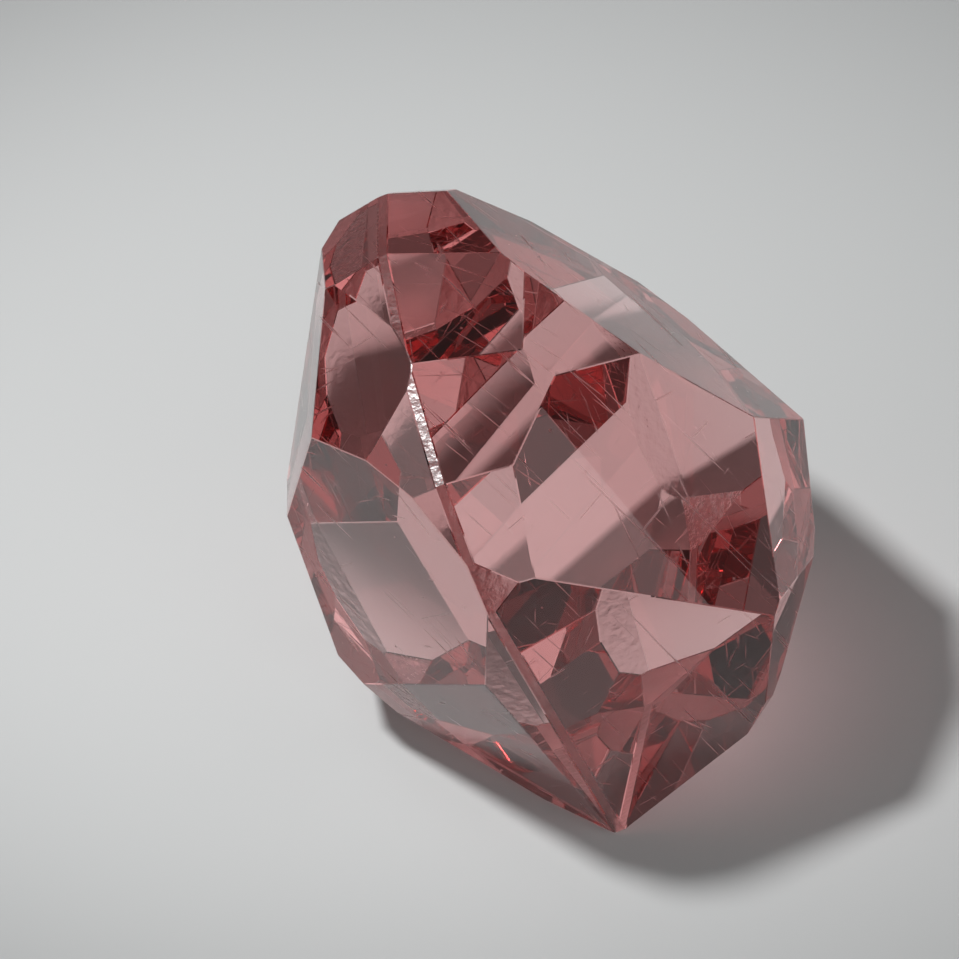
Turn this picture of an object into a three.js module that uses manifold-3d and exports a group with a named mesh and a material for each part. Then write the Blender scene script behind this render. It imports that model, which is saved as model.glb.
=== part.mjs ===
// A cut garnet: one solid drop-shaped stone with flat facets, lying on one of its crown facets.
// Millimetres, +Z up. The stone rests on z = 0 and its origin is the bottom centre of its box.
//
// The facets are placed in the stone's own axes, with the girdle round the middle in the plane z = 0:
// +X runs along the stone to its point, +Z is the crown side and -Z the pavilion side.
import * as THREE from 'three';
import Module from 'manifold-3d';
import { mergeVertices } from 'three/addons/utils/BufferGeometryUtils.js';

const wasm = await Module();
wasm.setup();

const CROWN = 1;
const PAVILION = -1;

// Half the thickness of the thin band round the stone.
const GIRDLE_HALF = 0.07;

// The side that the stone lies on, whose crown facet is its resting facet.
const RESTING = { azimuth: -43.3, radius: 3.285, crown: 68.7, pavilion: 78 };

// The outline along the girdle: how far out the side at each azimuth is, and the inclination of the
// crown and pavilion facets that start from its edges, where it has them. +Y is the front.
const SIDES = [
  { azimuth: 43.3, radius: 3.285, crown: 76, pavilion: 76 },
  { azimuth: 66, radius: 3.72 },
  { azimuth: 90, radius: 3.86, crown: 76, pavilion: 66 },
  { azimuth: 111, radius: 3.83, crown: 76, pavilion: 66 },
  { azimuth: 132, radius: 3.92, crown: 76, pavilion: 66 },
  { azimuth: 155, radius: 4.2, crown: 76, pavilion: 66 },
  { azimuth: 180, radius: 4.52, crown: 80.5, pavilion: 72 },
  { azimuth: -155, radius: 4.2, crown: 76, pavilion: 82 },
  { azimuth: -132, radius: 3.92, crown: 76, pavilion: 84 },
  { azimuth: -90, radius: 3.86, pavilion: 85 },
  { azimuth: -66, radius: 3.72, crown: 72 },
  RESTING,
];

// The other facets: azimuth round the stone, inclination from its axis, and reach from its centre.
const CROWN_FACETS = [
  [180, 6, 2.68],
  [67.8, 38, 2.34],
  [37, 45.5, 2.63],
  [125.7, 66.2, 3.565],
  [151, 32, 2.88],
  [-97, 43, 3.0],
  [-80, 49, 3.13],
  [-130, 42, 2.72],
  [-158, 33, 2.8],
  [-48, 45, 3.06],
  [-20, 42, 3.1],
  [-5, 24, 2.98],
];
const PAVILION_FACETS = [
  [85, 45, 3.076],
  [176, 35, 3.1],
  [41.5, 13.8, 3.7],
  [128, 49, 3.46],
  [0, 52, 4.32],
  [5, 34, 4.03],
  [-95, 40, 4.02],
  [-40, 50, 3.9],
  [-140, 38, 4.06],
  [-50, 26, 4.16],
];

// The turn about the vertical that brings the front of the resting stone to -Y.
const TURN_ON_SURFACE = -129.7;

const ROUGH_SIZE = 12;
const WASTE_OUTLINE = new THREE.Shape([
  new THREE.Vector2(-5 * ROUGH_SIZE, -3 * ROUGH_SIZE),
  new THREE.Vector2(5 * ROUGH_SIZE, -3 * ROUGH_SIZE),
  new THREE.Vector2(0, 5 * ROUGH_SIZE),
]);
const UP = new THREE.Vector3(0, 0, 1);
const DOWN = new THREE.Vector3(0, 0, -1);
const radians = THREE.MathUtils.degToRad;

// The direction that a facet faces.
function facing(side, azimuth, inclination) {
  const turn = radians(azimuth);
  const lean = radians(inclination);
  return new THREE.Vector3(
    Math.sin(lean) * Math.cos(turn),
    Math.sin(lean) * Math.sin(turn),
    side * Math.cos(lean),
  );
}

// The reach of a facet that starts from the girdle's edge at this radius.
function reachAtGirdle(radius, inclination) {
  const lean = radians(inclination);
  return radius * Math.sin(lean) + GIRDLE_HALF * Math.cos(lean);
}

function solidFrom(geometry) {
  const bare = geometry.clone();
  bare.deleteAttribute('normal');
  bare.deleteAttribute('uv');
  const merged = mergeVertices(bare);
  const vertProperties = new Float32Array(merged.attributes.position.array);
  const triVerts = new Uint32Array(merged.index.array);
  return new wasm.Manifold(new wasm.Mesh({ numProp: 3, vertProperties, triVerts }));
}

// The material that a facet takes off: a wedge whose near face, a single triangle, lies in the facet's plane.
function wasteBeyond({ normal, reach }) {
  const waste = new THREE.ExtrudeGeometry(WASTE_OUTLINE, { depth: 2 * ROUGH_SIZE, bevelEnabled: false });
  waste.translate(0, 0, reach);
  waste.applyQuaternion(new THREE.Quaternion().setFromUnitVectors(UP, normal));
  return solidFrom(waste);
}

function flatShaded(solid) {
  const { vertProperties, triVerts } = solid.getMesh();
  const shared = new THREE.BufferGeometry();
  shared.setAttribute('position', new THREE.BufferAttribute(new Float32Array(vertProperties), 3));
  shared.setIndex(new THREE.BufferAttribute(new Uint32Array(triVerts), 1));
  const flat = shared.toNonIndexed();
  flat.computeVertexNormals();
  return flat;
}

const facets = [];
for (const { azimuth, radius, crown, pavilion } of SIDES) {
  facets.push({ normal: facing(CROWN, azimuth, 90), reach: radius });
  if (crown) {
    facets.push({ normal: facing(CROWN, azimuth, crown), reach: reachAtGirdle(radius, crown) });
  }
  if (pavilion) {
    facets.push({ normal: facing(PAVILION, azimuth, pavilion), reach: reachAtGirdle(radius, pavilion) });
  }
}
for (const [azimuth, inclination, reach] of CROWN_FACETS) {
  facets.push({ normal: facing(CROWN, azimuth, inclination), reach });
}
for (const [azimuth, inclination, reach] of PAVILION_FACETS) {
  facets.push({ normal: facing(PAVILION, azimuth, inclination), reach });
}

let stone = solidFrom(new THREE.BoxGeometry(ROUGH_SIZE, ROUGH_SIZE, ROUGH_SIZE));
for (const facet of facets) {
  stone = stone.subtract(wasteBeyond(facet));
}

const garnet = new THREE.Mesh(
  flatShaded(stone),
  new THREE.MeshStandardMaterial({ color: 0x8f4a4c, roughness: 0.08, metalness: 0 }),
);
garnet.name = 'garnet';

// Lay the stone on its resting facet, turn it, and set the bottom centre of its box at the origin.
garnet.quaternion.setFromUnitVectors(facing(CROWN, RESTING.azimuth, RESTING.crown), DOWN);
garnet.quaternion.premultiply(new THREE.Quaternion().setFromAxisAngle(UP, radians(TURN_ON_SURFACE)));
const box = new THREE.Box3().setFromObject(garnet, true);
garnet.position.set(-(box.min.x + box.max.x) / 2, -(box.min.y + box.max.y) / 2, -box.min.z);

const group = new THREE.Group();
group.add(garnet);

export default group;
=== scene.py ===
"""The looks of a cut garnet: a clear stone with worn facet edges, a ground girdle, scratches and dust."""

import math

import bmesh
import bpy
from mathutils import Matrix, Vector


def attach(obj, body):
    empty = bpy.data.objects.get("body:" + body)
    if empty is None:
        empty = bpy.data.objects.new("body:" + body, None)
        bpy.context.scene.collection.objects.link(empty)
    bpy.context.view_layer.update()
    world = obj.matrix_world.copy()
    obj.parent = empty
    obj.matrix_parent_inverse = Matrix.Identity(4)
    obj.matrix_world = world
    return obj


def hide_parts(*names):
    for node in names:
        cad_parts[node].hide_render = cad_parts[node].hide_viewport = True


MM = 0.001

# The camera, as in the photograph. Its view starts and ends at these shares of its distance.
IMAGE_SIZE = 959
PIXELS_PER_MM = 75.1
CAMERA_ELEVATION = math.radians(43.8)
LENS_MM = 600
SENSOR_MM = 36
VIEW_START_SHARE = 0.1
VIEW_END_SHARE = 20

# A point in the middle of the stone, and the pixel that it falls on.
STONE_CENTRE = Vector((-0.65, -0.24, 3.10)) * MM
STONE_CENTRE_PIXEL = (502.5, 511.5)

# The stone's axis, from its pavilion to its crown. A girdle face is parallel to it, within the tolerance.
STONE_AXIS = Vector((-0.925, -0.113, -0.363))
GIRDLE_TOLERANCE = 0.01
GIRDLE_ATTRIBUTE = "girdle"

# The CAD solid is made of loose triangles: what counts as one point, and as one flat facet.
WELD_DISTANCE = 0.002 * MM
FLAT_ANGLE = math.radians(0.4)
EDGE_WEAR = 0.012 * MM

# The crystal: how it bends light, and the colour that it gives to light on its way through.
GARNET_IOR = 1.76
ABSORPTION_COLOUR = (0.78, 0.09, 0.085, 1)
ABSORPTION_DENSITY = 128

# The finish: polished facets with scratches, the grain of the ground girdle, and specks of dust, whose
# radius is a share of their spacing.
POLISH_ROUGHNESS = 0
SCRATCH_ROUGHNESS = 0.3
GRAIN_SIZE = 0.13 * MM
GRAIN_DEPTH = 0.016 * MM
DUST_SPACING = 0.5 * MM
DUST_RADIUS_SHARE = 0.06

# Each set of scratches: its turn in degrees, the spacing and length of its lines, and the level of
# its pattern above which a line shows.
SCRATCH_SETS = (
    {"turn": (0, -31, 35), "spacing": 0.05 * MM, "length": 2.5 * MM, "level": 0.655},
    {"turn": (0, 20, 60), "spacing": 0.07 * MM, "length": 1.5 * MM, "level": 0.69},
    {"turn": (0, 60, -20), "spacing": 0.07 * MM, "length": 1.2 * MM, "level": 0.69},
)
SCRATCH_FADE = 0.05

# The floor lies a hair below the stone, so that the two don't share a plane.
FLOOR_SIZE = 400 * MM
FLOOR_GAP = 0.02 * MM
FLOOR_COLOUR = (0.56, 0.57, 0.57, 1)
FLOOR_ROUGHNESS = 0.7

# The main lamp, whose pool of light is brightest behind the stone.
KEY_ENERGY = 0.14
KEY_SOFTNESS = 4 * MM
KEY_CONE = math.radians(34)
KEY_DIRECTION = (-0.45, -0.02, 0.89)
KEY_DISTANCE = 60 * MM
KEY_TARGET = (-1 * MM, 4 * MM, 0)

# The soft boxes: a weak one low on the left, and one in front on the right that lightens the shadow.
SOFT_BOXES = (
    {
        "name": "fill_left",
        "energy": 0.0015,
        "size": 24 * MM,
        "direction": (-0.85, -0.3, 0.45),
        "distance": 45 * MM,
    },
    {
        "name": "fill_front",
        "energy": 0.0075,
        "size": 60 * MM,
        "direction": (0.75, -0.55, 0.5),
        "distance": 60 * MM,
    },
)

# The light from all round: dim up to the first height and full from the second, with a glow low in
# front. The glow starts at the first cosine of the angle from its direction and is full at the second.
SKY_COLOUR = (0.98, 1.0, 1.0, 1)
SKY_HEIGHTS = (0.12, 0.4)
SKY_STRENGTHS = (0.02, 0.085)
GLOW_DIRECTION = (0.1, -0.97, 0.2)
GLOW_COSINES = (0.3, 0.95)
GLOW_STRENGTHS = (0, 0.3)

# Light passes many facets inside the stone before it comes out.
LIGHT_BOUNCES = 32


def new_object(name, mesh):
    obj = bpy.data.objects.new(name, mesh)
    bpy.context.scene.collection.objects.link(obj)
    return obj


def scratches(nodes, links, turn, spacing, length, level):
    """Thin parallel lines, where thin sheets that stand at this turn meet the surface."""
    coordinates = nodes.new("ShaderNodeTexCoord")
    place = nodes.new("ShaderNodeMapping")
    place.vector_type = "TEXTURE"
    place.inputs["Rotation"].default_value = [math.radians(angle) for angle in turn]
    place.inputs["Scale"].default_value = (spacing, length, length)
    links.new(coordinates.outputs["Object"], place.inputs["Vector"])
    sheets = nodes.new("ShaderNodeTexNoise")
    sheets.inputs["Scale"].default_value = 1
    sheets.inputs["Detail"].default_value = 2
    links.new(place.outputs["Vector"], sheets.inputs["Vector"])
    lines = nodes.new("ShaderNodeMapRange")
    lines.inputs["From Min"].default_value = level
    lines.inputs["From Max"].default_value = level + SCRATCH_FADE
    links.new(sheets.outputs["Fac"], lines.inputs["Value"])
    return lines.outputs["Result"]


def dust(nodes, links):
    """Small round specks, at most one in each cell of the spacing."""
    coordinates = nodes.new("ShaderNodeTexCoord")
    cells = nodes.new("ShaderNodeTexVoronoi")
    cells.inputs["Scale"].default_value = 1 / DUST_SPACING
    links.new(coordinates.outputs["Object"], cells.inputs["Vector"])
    specks = nodes.new("ShaderNodeMapRange")
    specks.inputs["From Min"].default_value = DUST_RADIUS_SHARE
    specks.inputs["From Max"].default_value = DUST_RADIUS_SHARE / 2
    links.new(cells.outputs["Distance"], specks.inputs["Value"])
    return specks.outputs["Result"]


def strongest(nodes, links, patterns):
    """The largest of several patterns at each point."""
    top = patterns[0]
    for pattern in patterns[1:]:
        larger = nodes.new("ShaderNodeMath")
        larger.operation = "MAXIMUM"
        links.new(top, larger.inputs[0])
        links.new(pattern, larger.inputs[1])
        top = larger.outputs["Value"]
    return top


def girdle_grain(nodes, links, girdle):
    """The ground surface of the girdle, as a bump that is flat on the facets."""
    coordinates = nodes.new("ShaderNodeTexCoord")
    grain = nodes.new("ShaderNodeTexNoise")
    grain.inputs["Scale"].default_value = 1 / GRAIN_SIZE
    grain.inputs["Detail"].default_value = 3
    links.new(coordinates.outputs["Object"], grain.inputs["Vector"])
    ground = nodes.new("ShaderNodeMath")
    ground.operation = "MULTIPLY"
    links.new(grain.outputs["Fac"], ground.inputs[0])
    links.new(girdle, ground.inputs[1])
    bump = nodes.new("ShaderNodeBump")
    bump.inputs["Strength"].default_value = 1.0
    bump.inputs["Distance"].default_value = GRAIN_DEPTH
    links.new(ground.outputs["Value"], bump.inputs["Height"])
    return bump.outputs["Normal"]


def crystal_material():
    """Clear garnet: plain transmission, with its colour from absorption along the way through.

    The facets are polished and finely scratched, and the girdle is ground.
    """
    material = bpy.data.materials.new("garnet_crystal")
    material.use_nodes = True
    nodes = material.node_tree.nodes
    links = material.node_tree.links
    surface = nodes["Principled BSDF"]
    surface.inputs["Base Color"].default_value = (1, 1, 1, 1)
    surface.inputs["IOR"].default_value = GARNET_IOR
    surface.inputs["Transmission Weight"].default_value = 1.0
    absorption = nodes.new("ShaderNodeVolumeAbsorption")
    absorption.inputs["Color"].default_value = ABSORPTION_COLOUR
    absorption.inputs["Density"].default_value = ABSORPTION_DENSITY
    links.new(absorption.outputs["Volume"], nodes["Material Output"].inputs["Volume"])

    girdle = nodes.new("ShaderNodeAttribute")
    girdle.attribute_name = GIRDLE_ATTRIBUTE
    marks = [scratches(nodes, links, **scratch_set) for scratch_set in SCRATCH_SETS]
    marks += [dust(nodes, links), girdle.outputs["Fac"]]
    finish = nodes.new("ShaderNodeMapRange")
    finish.inputs["To Min"].default_value = POLISH_ROUGHNESS
    finish.inputs["To Max"].default_value = SCRATCH_ROUGHNESS
    links.new(strongest(nodes, links, marks), finish.inputs["Value"])
    links.new(finish.outputs["Result"], surface.inputs["Roughness"])
    links.new(girdle_grain(nodes, links, girdle.outputs["Fac"]), surface.inputs["Normal"])
    return material


def make_stone(node):
    """The CAD stone with its facets as single faces and its edges worn a little round."""
    mesh = bpy.data.meshes.new("garnet_stone")
    bm = bmesh.new()
    bm.from_mesh(node.data)
    bmesh.ops.remove_doubles(bm, verts=bm.verts, dist=WELD_DISTANCE)
    bmesh.ops.dissolve_limit(bm, angle_limit=FLAT_ANGLE, verts=bm.verts, edges=bm.edges)
    bmesh.ops.bevel(
        bm,
        geom=list(bm.edges),
        offset=EDGE_WEAR,
        offset_type="OFFSET",
        segments=1,
        profile=0.5,
        affect="EDGES",
        material=-1,
        clamp_overlap=True,
    )
    on_girdle = bm.faces.layers.float.new(GIRDLE_ATTRIBUTE)
    for face in bm.faces:
        face.smooth = False
        face[on_girdle] = 1.0 if abs(face.normal.dot(STONE_AXIS)) < GIRDLE_TOLERANCE else 0.0
    bm.to_mesh(mesh)
    bm.free()
    mesh.materials.append(crystal_material())
    stone = new_object("garnet_stone", mesh)
    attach(stone, "root")
    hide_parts("garnet")


def make_floor():
    mesh = bpy.data.meshes.new("floor")
    bm = bmesh.new()
    bmesh.ops.create_grid(bm, x_segments=1, y_segments=1, size=FLOOR_SIZE)
    bmesh.ops.translate(bm, verts=bm.verts, vec=(0, 0, -FLOOR_GAP))
    bm.to_mesh(mesh)
    bm.free()
    material = bpy.data.materials.new("pale_floor")
    material.use_nodes = True
    surface = material.node_tree.nodes["Principled BSDF"]
    surface.inputs["Base Color"].default_value = FLOOR_COLOUR
    surface.inputs["Roughness"].default_value = FLOOR_ROUGHNESS
    mesh.materials.append(material)
    new_object("floor", mesh)


def place_light(data, direction, distance, target):
    """Stand a light off its target in the given direction and turn it to the target."""
    light = new_object(data.name, data)
    towards_light = Vector(direction).normalized()
    light.location = Vector(target) + towards_light * distance
    light.rotation_mode = "QUATERNION"
    light.rotation_quaternion = (-towards_light).to_track_quat("-Z", "Y")


def make_key_light():
    data = bpy.data.lights.new("key", "SPOT")
    data.energy = KEY_ENERGY
    data.shadow_soft_size = KEY_SOFTNESS
    data.spot_size = KEY_CONE
    data.spot_blend = 1.0
    place_light(data, KEY_DIRECTION, KEY_DISTANCE, KEY_TARGET)


def make_soft_boxes():
    for box in SOFT_BOXES:
        data = bpy.data.lights.new(box["name"], "AREA")
        data.shape = "SQUARE"
        data.size = box["size"]
        data.energy = box["energy"]
        place_light(data, box["direction"], box["distance"], target=(0, 0, 0))


def soft_step(nodes, links, value, limits, results):
    """A value that passes smoothly from the first result to the second between the limits."""
    step = nodes.new("ShaderNodeMapRange")
    step.interpolation_type = "SMOOTHSTEP"
    step.inputs["From Min"].default_value = limits[0]
    step.inputs["From Max"].default_value = limits[1]
    step.inputs["To Min"].default_value = results[0]
    step.inputs["To Max"].default_value = results[1]
    links.new(value, step.inputs["Value"])
    return step.outputs["Result"]


def make_world():
    """Soft light from above over a dim horizon, with a glow low in front."""
    world = bpy.data.worlds.new("studio")
    world.use_nodes = True
    nodes = world.node_tree.nodes
    links = world.node_tree.links
    coordinates = nodes.new("ShaderNodeTexCoord")
    parts = nodes.new("ShaderNodeSeparateXYZ")
    links.new(coordinates.outputs["Generated"], parts.inputs["Vector"])
    sky = soft_step(nodes, links, parts.outputs["Z"], SKY_HEIGHTS, SKY_STRENGTHS)
    cosine = nodes.new("ShaderNodeVectorMath")
    cosine.operation = "DOT_PRODUCT"
    cosine.inputs[1].default_value = Vector(GLOW_DIRECTION).normalized()
    links.new(coordinates.outputs["Generated"], cosine.inputs[0])
    glow = soft_step(nodes, links, cosine.outputs["Value"], GLOW_COSINES, GLOW_STRENGTHS)
    strength = nodes.new("ShaderNodeMath")
    strength.operation = "ADD"
    links.new(sky, strength.inputs[0])
    links.new(glow, strength.inputs[1])
    background = nodes["Background"]
    background.inputs["Color"].default_value = SKY_COLOUR
    links.new(strength.outputs["Value"], background.inputs["Strength"])
    bpy.context.scene.world = world


def make_camera():
    """A long lens in front of the stone and above it, with the stone's centre on its pixel."""
    right = Vector((1, 0, 0))
    up = Vector((0, math.sin(CAMERA_ELEVATION), math.cos(CAMERA_ELEVATION)))
    back = Vector((0, -math.cos(CAMERA_ELEVATION), math.sin(CAMERA_ELEVATION)))
    across = (IMAGE_SIZE / 2 - STONE_CENTRE_PIXEL[0]) / PIXELS_PER_MM * MM
    above = (STONE_CENTRE_PIXEL[1] - IMAGE_SIZE / 2) / PIXELS_PER_MM * MM
    aim = STONE_CENTRE + right * across + up * above
    distance = IMAGE_SIZE / PIXELS_PER_MM * LENS_MM / SENSOR_MM * MM
    data = bpy.data.cameras.new("camera")
    data.lens = LENS_MM
    data.sensor_width = SENSOR_MM
    data.clip_start = distance * VIEW_START_SHARE
    data.clip_end = distance * VIEW_END_SHARE
    camera = new_object("camera", data)
    camera.location = aim + back * distance
    camera.rotation_mode = "QUATERNION"
    camera.rotation_quaternion = (-back).to_track_quat("-Z", "Y")
    bpy.context.scene.camera = camera


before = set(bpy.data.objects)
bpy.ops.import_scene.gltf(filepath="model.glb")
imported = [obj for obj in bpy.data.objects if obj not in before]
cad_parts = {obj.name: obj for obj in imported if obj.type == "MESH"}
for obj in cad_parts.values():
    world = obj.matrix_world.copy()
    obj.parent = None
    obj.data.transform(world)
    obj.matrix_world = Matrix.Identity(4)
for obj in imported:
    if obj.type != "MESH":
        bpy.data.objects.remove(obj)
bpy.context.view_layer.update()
make_stone(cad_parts["garnet"])
make_floor()
make_world()
make_key_light()
make_soft_boxes()
make_camera()

scene = bpy.context.scene
scene.cycles.max_bounces = LIGHT_BOUNCES
scene.cycles.glossy_bounces = LIGHT_BOUNCES
scene.cycles.transmission_bounces = LIGHT_BOUNCES
scene.view_settings.view_transform = "Standard"

bpy.context.view_layer.update()
